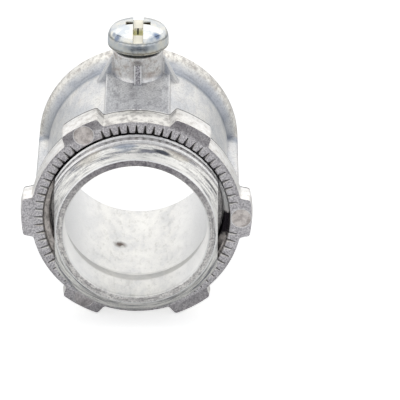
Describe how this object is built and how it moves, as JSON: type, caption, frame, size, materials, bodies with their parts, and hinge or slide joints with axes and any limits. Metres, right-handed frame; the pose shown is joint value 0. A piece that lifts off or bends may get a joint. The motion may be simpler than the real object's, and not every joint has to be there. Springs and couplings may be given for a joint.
{
  "type": "conduit connector",
  "caption": "Set-screw connector that joins thin-wall metal conduit to an outlet box, with a threaded nipple and a lugged locknut.",
  "frame": {"origin": "on the conduit axis, in the plane of the shoulder face that seats on the box wall", "axes": "+Y along the conduit axis towards the conduit, -Y out of the threaded nipple, +Z along the set screw towards its head, +X completes the set"},
  "size_m": [0.0332, 0.0315, 0.0369],
  "materials": {
    "cast_body": "bare die-cast zinc alloy, satin and slightly granular",
    "cast_locknut": "bare die-cast zinc alloy, satin, with a granular front face",
    "plated_screw": "bright zinc plating on steel"
  },
  "bodies": {
    "body": {"connector_body": "cast_body"},
    "nut": {"locknut": "cast_locknut"},
    "screw": {"set_screw": "plated_screw"}
  },
  "joints": [
    {"name": "locknut_travel", "type": "slide", "parent": "body", "child": "nut", "axis": [0, -1, 0], "range_m": [0, 0.01088]},
    {"name": "set_screw_travel", "type": "slide", "parent": "body", "child": "screw", "axis": [0, 0, 1], "range_m": [-0.0007, 0.0042]}
  ]
}
